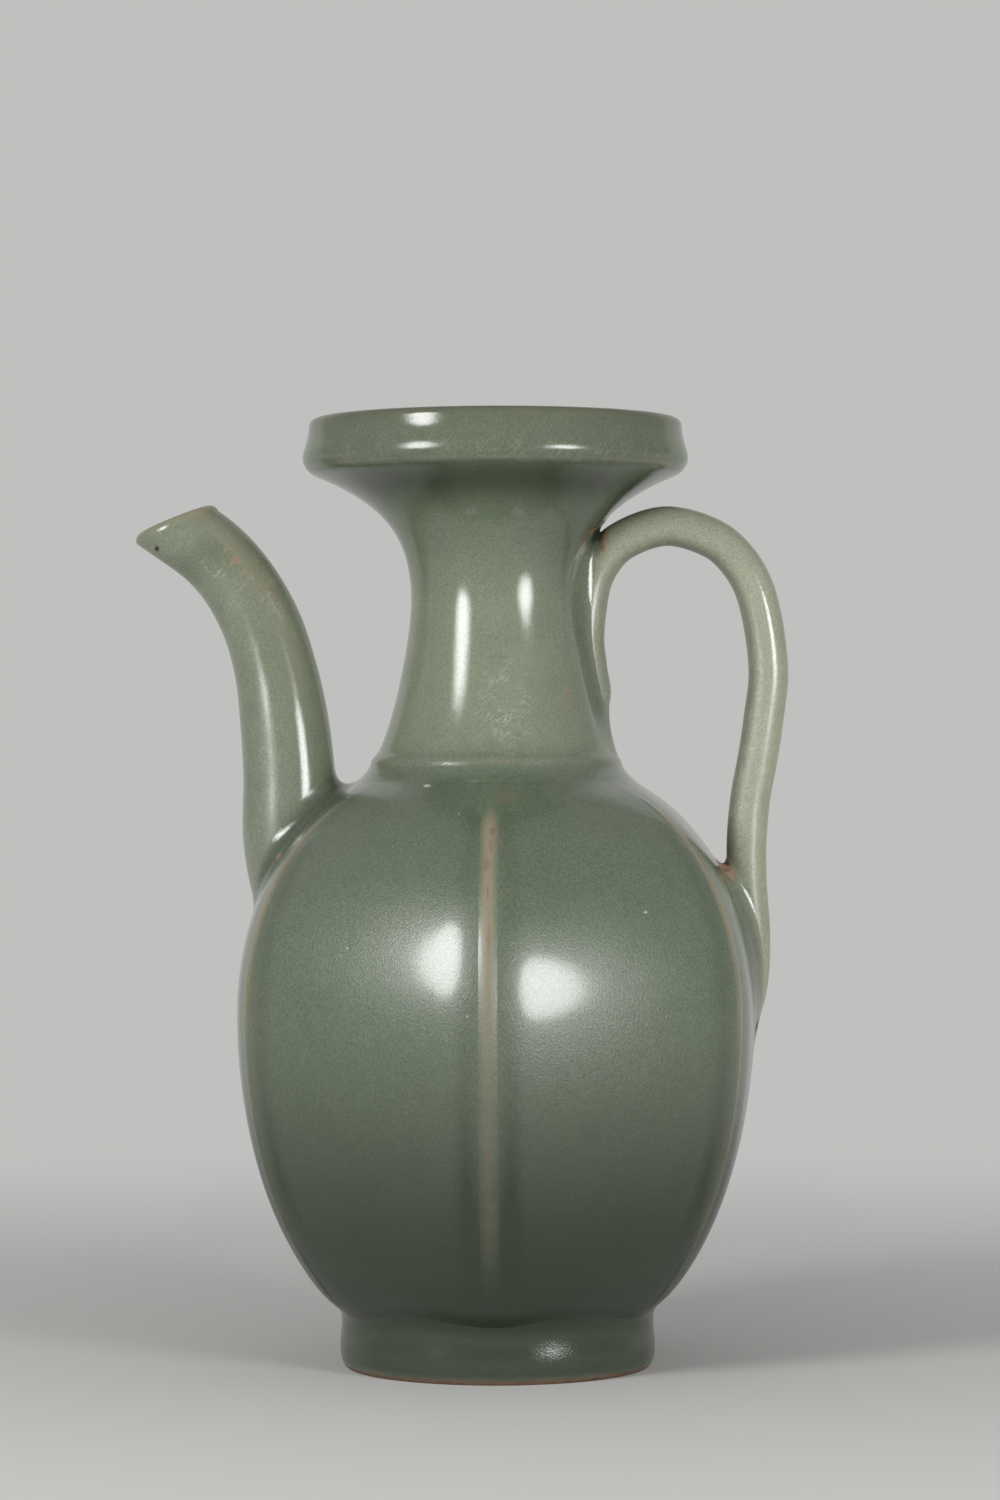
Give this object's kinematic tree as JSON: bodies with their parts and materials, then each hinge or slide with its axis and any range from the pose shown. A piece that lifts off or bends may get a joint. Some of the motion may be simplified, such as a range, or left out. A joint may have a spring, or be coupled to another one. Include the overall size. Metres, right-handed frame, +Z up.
{
  "type": "celadon ewer",
  "caption": "Glazed stoneware ewer: lobed ribbed body on a foot ring, tall neck with dish mouth, curved spout and rod handle, for pouring wine or water.",
  "frame": {"origin": "on the plane the foot rests on, midway between the spout's tip and the handle's back, in the middle of the depth", "axes": "+Z up along the pot's axis, -X towards the spout, +X towards the handle, -Y towards the front rib"},
  "size_m": [0.1666, 0.1428, 0.24],
  "materials": {
    "celadon_glaze": "soft grey-green transparent glaze over grey stoneware, glossy, darker where it pools",
    "thin_glaze": "thin glaze over raised clay, pinkish buff, glossy"
  },
  "bodies": {
    "root": {"foot_ring": "celadon_glaze", "body_lower": "celadon_glaze", "body_upper": "celadon_glaze", "neck_ring": "celadon_glaze", "neck": "celadon_glaze", "dish_mouth": "celadon_glaze", "spout": "celadon_glaze", "handle": "celadon_glaze", "rib_front": "thin_glaze", "rib_right_front": "thin_glaze", "rib_right_back": "thin_glaze", "rib_back": "thin_glaze", "rib_left_back": "thin_glaze", "rib_left_front": "thin_glaze"}
  },
  "joints": []
}
